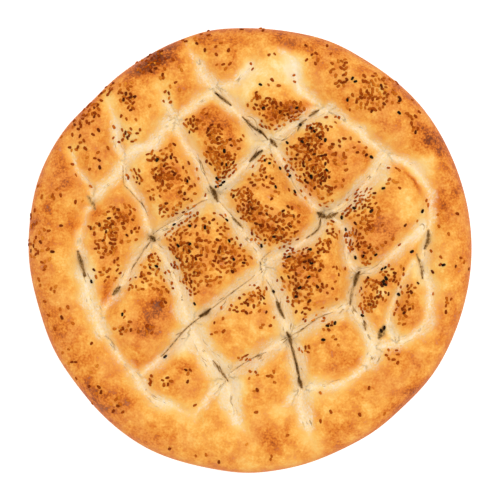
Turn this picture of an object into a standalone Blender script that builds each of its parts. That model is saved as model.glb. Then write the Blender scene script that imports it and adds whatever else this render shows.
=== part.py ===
"""A round Ramazan pide: a flatbread with a thick rim, pressed by fingers into a lattice of pillows.

The loaf lies on its flat underside. Metres, +Z up. The origin is the middle of the underside, and
+Y runs towards the top of the loaf as it is seen from above. The loaf and the seeds baked onto it
are one solid.
"""

import math
import random
from typing import NamedTuple

import bmesh
import bpy
import numpy as np
from mathutils import Matrix, Vector, noise

MM = 0.001

# Driving dimensions of the loaf
LOAF_RADIUS = 150 * MM
PILLOW_LEVEL = 26 * MM
RIM_LEVEL = 29 * MM
RIM_WIDTH = 34 * MM
SIDE_LEVEL = 12 * MM
SHOULDER = 25 * MM
UNDERCUT = 12 * MM
THINNEST = 8 * MM

# The grooves
CREASE_SHARE = 0.55
CREASE_POWER = 1.6
FLANK_REACH = 2.1
GROOVE_STEP = 2 * MM
CROSSING_SHARPNESS = 4
RUN_OUT = 38 * MM

# The uneven swell of the dough
SWELL_SIZE = 26 * MM
SWELL_HEIGHT = 1.3 * MM
SWELL_SEED = Vector((3.7, 1.9, 5.2))

# The mesh
INNER_RINGS = 50
SHOULDER_RINGS = 8
UNDERCUT_RINGS = 3
LOAF_TRIANGLES = 5400

# The seeds baked onto the crust
SESAME_SIZE = Vector((3.4 * MM, 2.0 * MM, 1.3 * MM))
SEED_SIZE_SPREAD = 0.12
SEED_SINK = 0.25
SEED_MAX_PRESSED = 6 * MM
SEED_SPACING = 4.6 * MM
SEED_SEGMENTS = 5
SEED_RINGS = 4
FUSED_SEEDS = 104
RANDOM_SEED = 7


class Groove(NamedTuple):
    """A pressed groove: depths at its start, along its run and at its end, and points in millimetres."""

    depths: tuple
    width: float
    points: tuple


class Patch(NamedTuple):
    """A patch of seeds: its middle, half lengths and turn, and how many seeds the real crust has there."""

    x: float
    y: float
    across: float
    along: float
    turn: float
    seeds: int


# Grooves, in millimetres. Steep ones run down to the right, shallow ones up to the right.
GROOVES = {
    "steep_left": Groove((5, 14, 3), 5.5, (
        (-96, 99), (-92, 87), (-89, 72), (-84, 50), (-75, 33), (-66, 8), (-58, -5), (-49, -23),
        (-43, -45), (-33, -66), (-23, -78), (-15, -88), (-14, -99), (-9, -115), (1, -129))),
    "steep_middle": Groove((5, 14, 4), 5.5, (
        (-61, 108), (-53, 93), (-47, 76), (-37, 61), (-18, 28), (1, 5), (8, -8), (15, -25),
        (27, -61), (34, -93), (34, -104), (42, -132))),
    "steep_right": Groove((5, 14, 9), 5.5, (
        (-43, 138), (-35, 124), (-24, 108), (1, 84), (13, 73), (22, 60), (31, 43), (43, 30),
        (54, 24), (64, 12), (66, -5), (72, -18), (68, -35), (76, -51), (83, -66), (79, -76))),
    "steep_short": Groove((8, 11, 9), 4.5, (
        (109, -8), (101, -24), (95, -38), (93, -51), (97, -61))),
    "shallow_top": Groove((12, 12, 8), 6, (
        (-106, 35), (-94, 47), (-81, 65), (-66, 72), (-53, 87), (-38, 97), (-25, 107), (-10, 113),
        (0, 126))),
    "shallow_upper": Groove((9, 13, 11), 4.5, (
        (-102, -45), (-89, -27), (-80, -11), (-66, 8), (-49, 20), (-27, 37), (-11, 49), (7, 67),
        (24, 81), (38, 89), (51, 95))),
    "shallow_middle": Groove((9, 14, 12), 4.5, (
        (-77, -86), (-61, -73), (-45, -55), (-28, -41), (-1, -21), (14, -7), (33, 4), (46, 15),
        (50, 24), (64, 31), (80, 47), (90, 63))),
    "shallow_lower": Groove((7, 13, 13), 4.5, (
        (-37, -110), (-26, -96), (-15, -85), (11, -68), (27, -58), (48, -45), (68, -36))),
    "shallow_right": Groove((13, 12, 9), 4.5, (
        (69, -18), (87, -10), (102, 3), (115, 16))),
    "shallow_bottom": Groove((2, 8, 8), 5, (
        (5, -111), (24, -103), (35, -93), (55, -91), (70, -84), (80, -75), (83, -66))),
    "ring_left": Groove((4, 11, 5), 5, (
        (-121, 76), (-119, 61), (-106, 35), (-112, 23), (-115, 1), (-111, -20), (-104, -46),
        (-92, -66), (-77, -86), (-68, -98), (-53, -104), (-37, -111))),
    "ring_right": Groove((6, 11, 9), 5.5, (
        (20, 133), (28, 127), (34, 108), (47, 96), (62, 88), (90, 66), (108, 56), (120, 39),
        (121, 19), (116, -8), (121, -28), (118, -47), (107, -59), (83, -66))),
}

# Where the round outline pulls in or swells: its direction in degrees, depth and half width
OUTLINE_DENTS = (
    (40, -1.2 * MM, 14),
    (69, -1.1 * MM, 8),
    (100, -0.9 * MM, 7),
    (124, 1.9 * MM, 12),
    (137, 2.4 * MM, 8),
    (161, -1.0 * MM, 9),
    (196, 1.9 * MM, 11),
    (217, 1.5 * MM, 10),
    (243, -1.1 * MM, 10),
    (269, -0.8 * MM, 7),
    (296, 1.5 * MM, 11),
    (314, 1.6 * MM, 9),
    (340, 0.6 * MM, 14),
)

# Pillows that swell above the rest: middle, radius and rise, in millimetres
PILLOW_SWELLS = (
    (-24, 81, 18, 3.0),
    (54, 61, 24, 3.5),
    (12, 30, 22, 3.5),
    (-27, 3, 24, 3.0),
    (42, -17, 22, 3.0),
    (90, 17, 20, 3.0),
    (-58, 54, 18, 2.0),
    (-68, -41, 20, 2.0),
    (-3, -51, 20, 1.5),
    (54, -64, 20, 1.0),
    (88, 96, 30, 1.5),
)

# Deep fingertip holes at the bottom of the grooves: middle, radius and depth, in millimetres
FINGER_HOLES = (
    (-66, 8, 4, 4.0),
    (-30, -43, 4, 3.5),
    (-24, 38, 5, 3.0),
    (-23, 103, 5, 2.5),
    (8, 80, 5, 3.0),
    (50, 23, 5, 4.0),
    (26, -61, 4, 4.0),
    (33, -88, 5, 3.0),
    (71, -26, 6, 3.5),
    (-17, -86, 5, 3.0),
    (-115, -9, 6, 3.5),
    (117, -2, 6, 3.0),
    (88, -56, 5, 3.5),
)

# Sesame patches, in millimetres and degrees, with the number of seeds on the real crust
SEED_PATCHES = (
    Patch(-24, 70, 14, 24, 20, 130),
    Patch(-58, 50, 16, 26, 35, 130),
    Patch(-78, 93, 14, 20, 0, 40),
    Patch(-47, 112, 14, 16, 0, 14),
    Patch(19, 94, 20, 12, -10, 110),
    Patch(40, 62, 20, 24, 20, 180),
    Patch(72, 64, 18, 16, 0, 40),
    Patch(3, 36, 20, 22, -50, 110),
    Patch(16, 16, 14, 14, 0, 100),
    Patch(-94, 10, 16, 24, 0, 90),
    Patch(-28, 0, 28, 26, 20, 230),
    Patch(38, -8, 28, 24, -20, 190),
    Patch(74, 12, 11, 24, 15, 90),
    Patch(-66, -20, 16, 18, 0, 45),
    Patch(0, -34, 24, 14, 20, 45),
    Patch(54, -48, 14, 9, 0, 15),
    Patch(82, -26, 16, 20, 0, 80),
    Patch(103, -38, 9, 18, 0, 30),
    Patch(82, 106, 26, 18, -35, 110),
    Patch(-104, 104, 40, 12, 43, 70),
    Patch(-138, 10, 10, 60, 0, 40),
    Patch(132, 20, 12, 60, 0, 30),
    Patch(-110, -80, 34, 16, -50, 20),
    Patch(10, -118, 60, 14, 0, 8),
)


def smooth_step(value):
    """Ease from 0 to 1 as the value goes from 0 to 1."""
    t = np.clip(value, 0.0, 1.0)
    return t * t * (3.0 - 2.0 * t)


def quarter_round(value):
    """Rise as a quarter of a circle, from 0 upright to 1 level."""
    t = np.clip(value, 0.0, 1.0)
    return np.sqrt(1.0 - (1.0 - t) ** 2)


def outline_radius(angle):
    """Radius of the loaf's outline in each direction."""
    radius = np.full_like(angle, LOAF_RADIUS)
    for direction, depth, half_width in OUTLINE_DENTS:
        turn = np.degrees(angle) - direction
        turn = (turn + 180.0) % 360.0 - 180.0
        radius -= depth * np.exp(-((turn / half_width) ** 2))
    return radius


def smooth_path(points):
    """Read a Catmull-Rom curve through the points, in metres, at even steps."""
    corners = [Vector(point) * MM for point in points]
    corners = [2 * corners[0] - corners[1], *corners, 2 * corners[-1] - corners[-2]]
    path = []
    for before, start, end, after in zip(corners, corners[1:], corners[2:], corners[3:]):
        steps = max(2, round((end - start).length / GROOVE_STEP))
        for step in range(steps):
            t = step / steps
            path.append(0.5 * (2 * start + (end - before) * t
                               + (2 * before - 5 * start + 4 * end - after) * t ** 2
                               + (3 * start - before - 3 * end + after) * t ** 3))
    path.append(corners[-2])
    return np.array([tuple(point) for point in path])


def nearest_on_path(places, path):
    """Distance from each place to the path, how far along the path it is nearest, and its length."""
    nearest = np.full(len(places), np.inf)
    along = np.zeros(len(places))
    travelled = 0.0
    for start, end in zip(path, path[1:]):
        run = end - start
        length = math.hypot(*run)
        t = np.clip((places - start) @ run / length ** 2, 0.0, 1.0)
        distance = np.hypot(*(places - start - t[:, None] * run).T)
        closer = distance < nearest
        nearest[closer] = distance[closer]
        along[closer] = travelled + t[closer] * length
        travelled += length
    return nearest, along, travelled


def groove_depth(places):
    """How far the grooves press the crust down at each place."""
    pressed = np.zeros(len(places))
    for groove in GROOVES.values():
        distance, along, length = nearest_on_path(places, smooth_path(groove.points))
        start, middle, end = (depth * MM for depth in groove.depths)
        depth = (middle + (start - middle) * (1.0 - smooth_step(along / RUN_OUT))
                 + (end - middle) * (1.0 - smooth_step((length - along) / RUN_OUT)))
        spread = distance / (groove.width * MM)
        crease = CREASE_SHARE * np.exp(-(spread ** CREASE_POWER))
        flank = (1.0 - CREASE_SHARE) * np.exp(-((spread / FLANK_REACH) ** 2))
        pressed += (depth * (crease + flank)) ** CROSSING_SHARPNESS
    return pressed ** (1.0 / CROSSING_SHARPNESS)


def crust_height(places):
    """Height of the upper crust above the underside at each place of the plan."""
    x, y = places.T
    inset = outline_radius(np.arctan2(y, x)) - np.hypot(x, y)
    level = PILLOW_LEVEL + (RIM_LEVEL - PILLOW_LEVEL) * smooth_step(2.0 - inset / RIM_WIDTH)
    for middle_x, middle_y, radius, rise in PILLOW_SWELLS:
        reach = np.hypot(x - middle_x * MM, y - middle_y * MM) / (radius * MM)
        level += rise * MM * np.exp(-(reach ** 2))
    level += SWELL_HEIGHT * np.array(
        [noise.noise(Vector((px, py, 0.0)) / SWELL_SIZE + SWELL_SEED) for px, py in places])
    pressed = groove_depth(places)
    for middle_x, middle_y, radius, depth in FINGER_HOLES:
        reach = np.hypot(x - middle_x * MM, y - middle_y * MM) / (radius * MM)
        pressed += depth * MM * np.exp(-(reach ** 2))
    surface = np.maximum(level - pressed, THINNEST)
    return SIDE_LEVEL + (surface - SIDE_LEVEL) * quarter_round(inset / SHOULDER)


def ring_insets():
    """How far in from the outline each ring of the upper crust lies, from the middle outwards."""
    inner = np.linspace(LOAF_RADIUS, SHOULDER, INNER_RINGS + 1)[:-1]
    angles = np.linspace(math.pi / 2, 0.0, SHOULDER_RINGS + 1)
    return [*inner, *(SHOULDER * (1.0 - np.cos(angles)))]


def upper_crust(bm):
    """Add the upper crust: rings about the middle, each with six more corners than the one inside."""
    rings = []
    for number, inset in enumerate(ring_insets()):
        angle = np.arange(max(1, 6 * number)) * (math.tau / max(1, 6 * number))
        radius = outline_radius(angle) * (1.0 - inset / LOAF_RADIUS)
        places = np.column_stack((radius * np.cos(angle), radius * np.sin(angle)))
        heights = crust_height(places)
        rings.append([bm.verts.new((px, py, pz)) for (px, py), pz in zip(places, heights)])
    for number, (inner, outer) in enumerate(zip(rings, rings[1:]), start=1):
        for side in range(6):
            for step in range(number):
                near = outer[side * number + step]
                far = outer[(side * number + step + 1) % len(outer)]
                back = inner[(side * (number - 1) + step) % len(inner)]
                bm.faces.new((near, far, back))
                if step < number - 1:
                    forward = inner[(side * (number - 1) + step + 1) % len(inner)]
                    bm.faces.new((far, forward, back))
    return rings[-1]


def underside(bm, edge):
    """Add the undercut below the widest ring, and the flat face that the loaf rests on."""
    above = edge
    for level in range(1, UNDERCUT_RINGS + 1):
        angle = level / UNDERCUT_RINGS * math.pi / 2
        shrink = 1.0 - UNDERCUT / LOAF_RADIUS * (1.0 - math.cos(angle))
        height = SIDE_LEVEL * (1.0 - math.sin(angle))
        below = [bm.verts.new((v.co.x * shrink, v.co.y * shrink, height)) for v in edge]
        for corner in range(len(edge)):
            following = (corner + 1) % len(edge)
            bm.faces.new((above[corner], below[corner], below[following], above[following]))
        above = below
    bm.faces.new(list(reversed(above)))


def apply_modifiers(body):
    """Keep the shape that the body's modifiers give, and remove them."""
    depsgraph = bpy.context.evaluated_depsgraph_get()
    shaped = bpy.data.meshes.new_from_object(body.evaluated_get(depsgraph))
    body.modifiers.clear()
    body.data = shaped


def make_loaf():
    """Build the loaf without its seeds."""
    bm = bmesh.new()
    edge = upper_crust(bm)
    underside(bm, edge)
    bmesh.ops.triangulate(bm, faces=bm.faces)
    mesh = bpy.data.meshes.new("pide")
    bm.to_mesh(mesh)
    bm.free()
    loaf = bpy.data.objects.new("pide", mesh)
    bpy.context.scene.collection.objects.link(loaf)
    thinned = loaf.modifiers.new("thinned", "DECIMATE")
    thinned.ratio = LOAF_TRIANGLES / len(mesh.polygons)
    apply_modifiers(loaf)
    return loaf


def seed_places(draw):
    """Choose where the fused seeds lie: by patch in proportion to its seeds, apart, and out of the grooves."""
    places = []
    weights = [patch.seeds for patch in SEED_PATCHES]
    while len(places) < FUSED_SEEDS:
        patch = draw.choices(SEED_PATCHES, weights)[0]
        reach = math.sqrt(draw.random())
        angle = draw.uniform(0.0, math.tau)
        offset = Vector((patch.across * reach * math.cos(angle), patch.along * reach * math.sin(angle)))
        offset.rotate(Matrix.Rotation(math.radians(patch.turn), 2))
        place = (Vector((patch.x, patch.y)) + offset) * MM
        inside = place.length < LOAF_RADIUS - SESAME_SIZE.x
        apart = all((place - other).length > SEED_SPACING for other in places)
        if inside and apart and groove_depth(np.array([tuple(place)]))[0] < SEED_MAX_PRESSED:
            places.append(place)
    return places


def surface_normal(place):
    """Upward normal of the crust at one place, read across the width of a seed."""
    reach = SESAME_SIZE.x / 2
    steps = np.array([tuple(place)] * 4) + np.array([(reach, 0), (-reach, 0), (0, reach), (0, -reach)])
    east, west, north, south = crust_height(steps)
    return Vector(((west - east) / (2 * reach), (south - north) / (2 * reach), 1.0)).normalized()


def make_seeds(loaf, draw):
    """Lay the sesame seeds on the loaf, each an object of the seeds' collection."""
    seeds = bpy.data.collections.new("seeds")
    bpy.context.scene.collection.children.link(seeds)
    for place in seed_places(draw):
        above = Vector((place.x, place.y, RIM_LEVEL * 2))
        _, spot, normal, _ = loaf.ray_cast(above, Vector((0, 0, -1)))
        lean = surface_normal(place).slerp(normal, 0.5)
        size = SESAME_SIZE * draw.uniform(1 - SEED_SIZE_SPREAD, 1 + SEED_SIZE_SPREAD)
        heading = Matrix.Rotation(draw.uniform(0.0, math.tau), 4, "Z")
        upright = Vector((0, 0, 1)).rotation_difference(lean).to_matrix().to_4x4()
        lift = Matrix.Translation(Vector((0, 0, size.z * SEED_SINK)))
        bm = bmesh.new()
        bmesh.ops.create_uvsphere(bm, u_segments=SEED_SEGMENTS, v_segments=SEED_RINGS, radius=0.5)
        bmesh.ops.rotate(bm, verts=bm.verts, matrix=Matrix.Rotation(math.pi / 2, 3, "Y"))
        bmesh.ops.scale(bm, verts=bm.verts, vec=size)
        bmesh.ops.triangulate(bm, faces=bm.faces)
        bm.transform(Matrix.Translation(spot) @ upright @ lift @ heading)
        mesh = bpy.data.meshes.new("sesame")
        bm.to_mesh(mesh)
        bm.free()
        seeds.objects.link(bpy.data.objects.new("sesame", mesh))
    return seeds


def fuse(loaf, seeds):
    """Join the seeds to the loaf as one solid, and remove their own objects."""
    union = loaf.modifiers.new("seeds", "BOOLEAN")
    union.operation = "UNION"
    union.operand_type = "COLLECTION"
    union.collection = seeds
    union.solver = "EXACT"
    apply_modifiers(loaf)
    for seed in list(seeds.objects):
        bpy.data.objects.remove(seed)
    bpy.data.collections.remove(seeds)


def baked_crust():
    """Golden baked crust."""
    material = bpy.data.materials.new("baked_crust")
    material.use_nodes = True
    shader = material.node_tree.nodes["Principled BSDF"]
    shader.inputs["Base Color"].default_value = (0.80, 0.42, 0.13, 1.0)
    shader.inputs["Roughness"].default_value = 0.62
    shader.inputs["Metallic"].default_value = 0.0
    return material


def main():
    """Build the pide."""
    for old in list(bpy.data.objects):
        bpy.data.objects.remove(old)
    draw = random.Random(RANDOM_SEED)
    loaf = make_loaf()
    bpy.context.view_layer.update()
    fuse(loaf, make_seeds(loaf, draw))
    loaf.data.materials.clear()
    loaf.data.materials.append(baked_crust())
    loaf.data.shade_smooth()


main()
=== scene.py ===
"""A Ramazan pide dressed for its photograph: the loaf, its sesame and nigella seeds, and the studio.

The loaf is a height field over its plan, from the same named sizes as the solid it replaces. Fields of
groove pressing, browning and folds are worked out at each corner of its mesh, and the crust's finish
reads them. Lengths are in metres, apart from tables whose comment says millimetres.
"""

import logging
import math
from dataclasses import dataclass, field
from enum import Enum
from typing import Any, NamedTuple

import bmesh
import bpy
import numpy as np
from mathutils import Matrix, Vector, noise


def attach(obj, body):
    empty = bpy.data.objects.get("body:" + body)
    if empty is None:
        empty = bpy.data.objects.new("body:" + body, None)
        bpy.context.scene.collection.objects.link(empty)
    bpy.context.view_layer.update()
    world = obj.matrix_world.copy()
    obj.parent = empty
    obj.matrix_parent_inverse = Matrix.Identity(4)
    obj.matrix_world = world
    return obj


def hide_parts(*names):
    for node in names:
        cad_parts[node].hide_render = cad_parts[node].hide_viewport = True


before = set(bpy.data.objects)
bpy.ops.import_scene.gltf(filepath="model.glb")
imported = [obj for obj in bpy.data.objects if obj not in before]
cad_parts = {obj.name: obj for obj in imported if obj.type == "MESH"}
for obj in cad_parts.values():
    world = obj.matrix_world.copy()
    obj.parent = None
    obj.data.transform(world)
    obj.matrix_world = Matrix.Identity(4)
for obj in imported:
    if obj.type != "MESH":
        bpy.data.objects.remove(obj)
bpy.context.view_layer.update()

LOG = logging.getLogger("pide")
MM = 0.001
LOAF_NODE = "pide"
BODY = "root"

Array = np.ndarray
Node = bpy.types.Node
Socket = bpy.types.NodeSocket
Tree = bpy.types.NodeTree


# Shared helpers


def linear(colour: str) -> tuple[float, float, float, float]:
    """Turn an sRGB hex colour into linear light.

    Args:
        colour: Six hex digits after a hash sign.

    Returns:
        Red, green, blue and a full alpha.
    """
    parts = [int(colour[start:start + 2], 16) / 255 for start in (1, 3, 5)]
    light = [part / 12.92 if part <= 0.04045 else ((part + 0.055) / 1.055) ** 2.4 for part in parts]
    return (*light, 1.0)


def add_node(tree: Tree, kind: str, inputs: dict | tuple = (), **settings: Any) -> Node:
    """Add a shader node with its settings and links.

    Args:
        tree: The node tree that gets it.
        kind: The node's type name, without the ShaderNode that all of them begin with.
        inputs: What its sockets get, as for feed.
        **settings: The node's own properties; stops are a colour ramp's places and hex colours.

    Returns:
        The new node.
    """
    node = tree.nodes.new("ShaderNode" + kind)
    for place, colour in settings.pop("stops", ()):
        spare = node.color_ramp.elements
        stop = spare[0] if place == 0.0 else spare[-1] if place == 1.0 else spare.new(place)
        stop.color = linear(colour)
    for name, value in settings.items():
        setattr(node, name, value)
    feed(node, inputs)
    return node


def feed(node: Node, inputs: dict | tuple) -> None:
    """Fill a node's input sockets.

    Args:
        node: The node that gets them.
        inputs: Values in the sockets' order, or by a socket's name or number. A node stands for its first
            enabled output, and an output is linked.
    """
    for name, value in inputs.items() if isinstance(inputs, dict) else enumerate(inputs):
        if isinstance(value, Node):
            value = next(output for output in value.outputs if output.enabled)
        if isinstance(value, Socket):
            node.id_data.links.new(value, node.inputs[name])
        else:
            node.inputs[name].default_value = value


def new_material(name: str) -> tuple[bpy.types.Material, Tree, Node]:
    """Start a material.

    Args:
        name: The material's name.

    Returns:
        The material, its node tree and its Principled shader.
    """
    material = bpy.data.materials.new(name)
    material.use_nodes = True
    return material, material.node_tree, material.node_tree.nodes["Principled BSDF"]


def smooth_step(value: Array) -> Array:
    """Ease from 0 to 1 as the value goes from 0 to 1."""
    t = np.clip(value, 0.0, 1.0)
    return t * t * (3.0 - 2.0 * t)


def quarter_round(value: Array) -> Array:
    """Rise as a quarter of a circle, from 0 upright to 1 level."""
    t = np.clip(value, 0.0, 1.0)
    return np.sqrt(1.0 - (1.0 - t) ** 2)


def grain(places: Array, size: float, start: float) -> Array:
    """Smooth noise between about -1 and 1 over the plan.

    Args:
        places: Rows of x and y.
        size: Length over which the noise changes.
        start: Height at which the noise is read, so that layers differ.

    Returns:
        One value for each place.
    """
    return np.array([noise.noise(Vector((x, y, start))) for x, y in (places / size).tolist()])


def layered(places: Array, layers: tuple) -> Array:
    """Add up layers of grain: the amount of each, its length in millimetres and where it is read."""
    return sum(amount * grain(places, size * MM, start) for amount, size, start in layers)


def drift(places: Array, size: float, reach: float, starts: tuple) -> Array:
    """Draw places about with grain: its length and reach in millimetres, and where x and y are read."""
    return np.column_stack([grain(places, size * MM, start) for start in starts]) * reach * MM


def place_object(name: str, data: bpy.types.ID) -> bpy.types.Object:
    """Put a new object into the scene."""
    placed = bpy.data.objects.new(name, data)
    bpy.context.scene.collection.objects.link(placed)
    return placed


def smooth_path(points: tuple, step: float) -> Array:
    """Read a Catmull-Rom curve through points given in millimetres.

    Args:
        points: Pairs of x and y in millimetres.
        step: Length of a step along the curve, in metres.

    Returns:
        Rows of x and y in metres.
    """
    corners = [Vector(point) * MM for point in points]
    corners = [2 * corners[0] - corners[1], *corners, 2 * corners[-1] - corners[-2]]
    path = []
    for before, start, end, after in zip(corners, corners[1:], corners[2:], corners[3:]):
        steps = max(2, round((end - start).length / step))
        for number in range(steps):
            t = number / steps
            path.append(0.5 * (2 * start + (end - before) * t
                               + (2 * before - 5 * start + 4 * end - after) * t ** 2
                               + (3 * start - before - 3 * end + after) * t ** 3))
    path.append(corners[-2])
    return np.array([tuple(point) for point in path])


def nearest_on_path(places: Array, path: Array) -> tuple[Array, Array, float]:
    """Measure from each place to a path.

    Args:
        places: Rows of x and y.
        path: The path's corners.

    Returns:
        The distance from each place, how far along the path its nearest point is, and the path's length.
    """
    nearest = np.full(len(places), np.inf)
    along = np.zeros(len(places))
    travelled = 0.0
    for start, end in zip(path, path[1:]):
        run = end - start
        length = math.hypot(*run)
        t = np.clip((places - start) @ run / length ** 2, 0.0, 1.0)
        distance = np.hypot(*(places - start - t[:, None] * run).T)
        closer = distance < nearest
        nearest[closer] = distance[closer]
        along[closer] = travelled + t[closer] * length
        travelled += length
    return nearest, along, travelled


def ellipse_reach(places: Array, x: float, y: float, across: float, along: float,
                  turn: float = 0.0) -> Array:
    """Distance from the middle of an ellipse, 1 at its edge.

    Args:
        places: Rows of x and y in metres.
        x: Middle, in millimetres.
        y: Middle, in millimetres.
        across: Half length along the ellipse's own x, in millimetres.
        along: Half length along its own y, in millimetres.
        turn: Turn of the ellipse, in degrees.

    Returns:
        One value for each place.
    """
    offset = places / MM - (x, y)
    c, s = math.cos(math.radians(turn)), math.sin(math.radians(turn))
    own_x, own_y = offset[:, 0] * c + offset[:, 1] * s, offset[:, 1] * c - offset[:, 0] * s
    return np.hypot(own_x / across, own_y / along)


# The loaf's pressed form


class Groove(NamedTuple):
    """A groove in millimetres: depths at its start, middle and end, crease width, pale half widths, run."""

    depths: tuple
    width: float
    pale: tuple
    points: tuple


class Patch(NamedTuple):
    """An oval of scattered seeds in millimetres, and how many seeds fell there."""

    x: float
    y: float
    across: float
    along: float
    seeds: int


GROOVES = (
    # Steep ones, from upper left to lower right
    Groove((5, 14, 3), 5.5, (4, 3, 3, 5, 8, 9, 8.5, 3), (
        (-96, 99), (-92, 87), (-89, 72), (-84, 50), (-75, 33), (-66, 8), (-58, -5), (-49, -23),
        (-43, -45), (-33, -66), (-23, -78), (-15, -88), (-14, -99), (-9, -115), (1, -129))),
    Groove((5, 14, 4), 5.5, (4, 4.5, 6, 5.5, 7, 6.5, 7, 4.5), (
        (-61, 108), (-53, 93), (-47, 76), (-37, 61), (-18, 28), (1, 5), (8, -8), (15, -25),
        (27, -61), (34, -93), (34, -104), (42, -132))),
    Groove((5, 14, 9), 5.5, (4, 5.5, 6, 3.4, 3.4, 4.5, 6, 7), (
        (-43, 138), (-35, 124), (-24, 108), (1, 84), (13, 73), (22, 60), (31, 43), (43, 30),
        (54, 24), (64, 12), (66, -5), (72, -18), (68, -35), (76, -51), (83, -66), (79, -76))),
    Groove((8, 11, 9), 4.5, (2, 1.5, 2, 5), (
        (109, -8), (101, -24), (95, -38), (93, -51), (97, -61))),
    # Shallow ones, from lower left to upper right
    Groove((12, 12, 8), 6, (4, 4.5, 5.5, 4, 4.5, 2), (
        (-106, 35), (-94, 47), (-81, 65), (-66, 72), (-53, 87), (-38, 97), (-25, 107), (-10, 113),
        (0, 126))),
    Groove((9, 13, 11), 4.5, (2, 5, 5.5, 4.5, 6, 6, 5), (
        (-102, -45), (-89, -27), (-80, -11), (-66, 8), (-49, 20), (-27, 37), (-11, 49), (7, 67),
        (24, 81), (38, 89), (51, 95))),
    Groove((9, 14, 12), 4.5, (2.5, 5.5, 6, 7, 5.5, 7, 7.5), (
        (-77, -86), (-61, -73), (-45, -55), (-28, -41), (-1, -21), (14, -7), (33, 4), (46, 15),
        (50, 24), (64, 31), (80, 47), (90, 63))),
    Groove((7, 13, 13), 4.5, (3.5, 5.5, 5.5, 6.5, 5, 4.5), (
        (-37, -110), (-26, -96), (-15, -85), (11, -68), (27, -58), (48, -45), (68, -36))),
    Groove((13, 12, 9), 4.5, (5, 3.5, 3.5, 5.5), (
        (69, -18), (87, -10), (102, 3), (115, 16))),
    Groove((2, 8, 8), 5, (4, 6, 4.5, 4, 5.5), (
        (5, -111), (24, -103), (35, -93), (55, -91), (70, -84), (80, -75), (83, -66))),
    # The groove inside the rim, on the left and on the right
    Groove((4, 11, 5), 5, (3, 2.5, 1.5, 6, 5, 3, 4.5, 4.5), (
        (-121, 76), (-119, 61), (-106, 35), (-112, 23), (-115, 1), (-111, -20), (-104, -46),
        (-92, -66), (-77, -86), (-68, -98), (-53, -104), (-37, -111))),
    Groove((6, 11, 9), 5.5, (5, 3, 3, 4, 2.5, 2.5, 3.6, 3.4, 4.5), (
        (20, 133), (28, 127), (34, 108), (47, 96), (62, 88), (90, 66), (108, 56), (120, 39),
        (121, 19), (116, -8), (121, -28), (118, -47), (107, -59), (83, -66))),
)

# Where the round outline pulls in or swells: its direction in degrees, depth and half width
OUTLINE_DENTS = (
    (40, -1.2 * MM, 14), (69, -1.1 * MM, 8), (100, -0.9 * MM, 7), (124, 1.9 * MM, 12), (137, 2.4 * MM, 8),
    (161, -1.0 * MM, 9), (196, 1.9 * MM, 11), (217, 1.5 * MM, 10), (243, -1.1 * MM, 10),
    (269, -0.8 * MM, 7), (296, 1.5 * MM, 11), (314, 1.6 * MM, 9), (340, 0.6 * MM, 14),
)

# Pillows that swell above the rest: middle, radius and rise, in millimetres
PILLOW_SWELLS = (
    (-24, 81, 18, 3.0), (54, 61, 24, 3.5), (12, 30, 22, 3.5), (-27, 3, 24, 3.0), (42, -17, 22, 3.0),
    (90, 17, 20, 3.0), (-58, 54, 18, 2.0), (-68, -41, 20, 2.0), (-3, -51, 20, 1.5), (54, -64, 20, 1.0),
    (88, 96, 30, 1.5),
)

# Deep fingertip holes at the bottom of the grooves: middle, radius and depth, in millimetres
FINGER_HOLES = (
    (-66, 8, 4, 4.0), (-30, -43, 4, 3.5), (-24, 38, 5, 3.0), (-23, 103, 5, 2.5), (8, 80, 5, 3.0),
    (50, 23, 5, 4.0), (26, -61, 4, 4.0), (33, -88, 5, 3.0), (71, -26, 6, 3.5), (-17, -86, 5, 3.0),
    (-115, -9, 6, 3.5), (117, -2, 6, 3.0), (88, -56, 5, 3.5),
)

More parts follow.
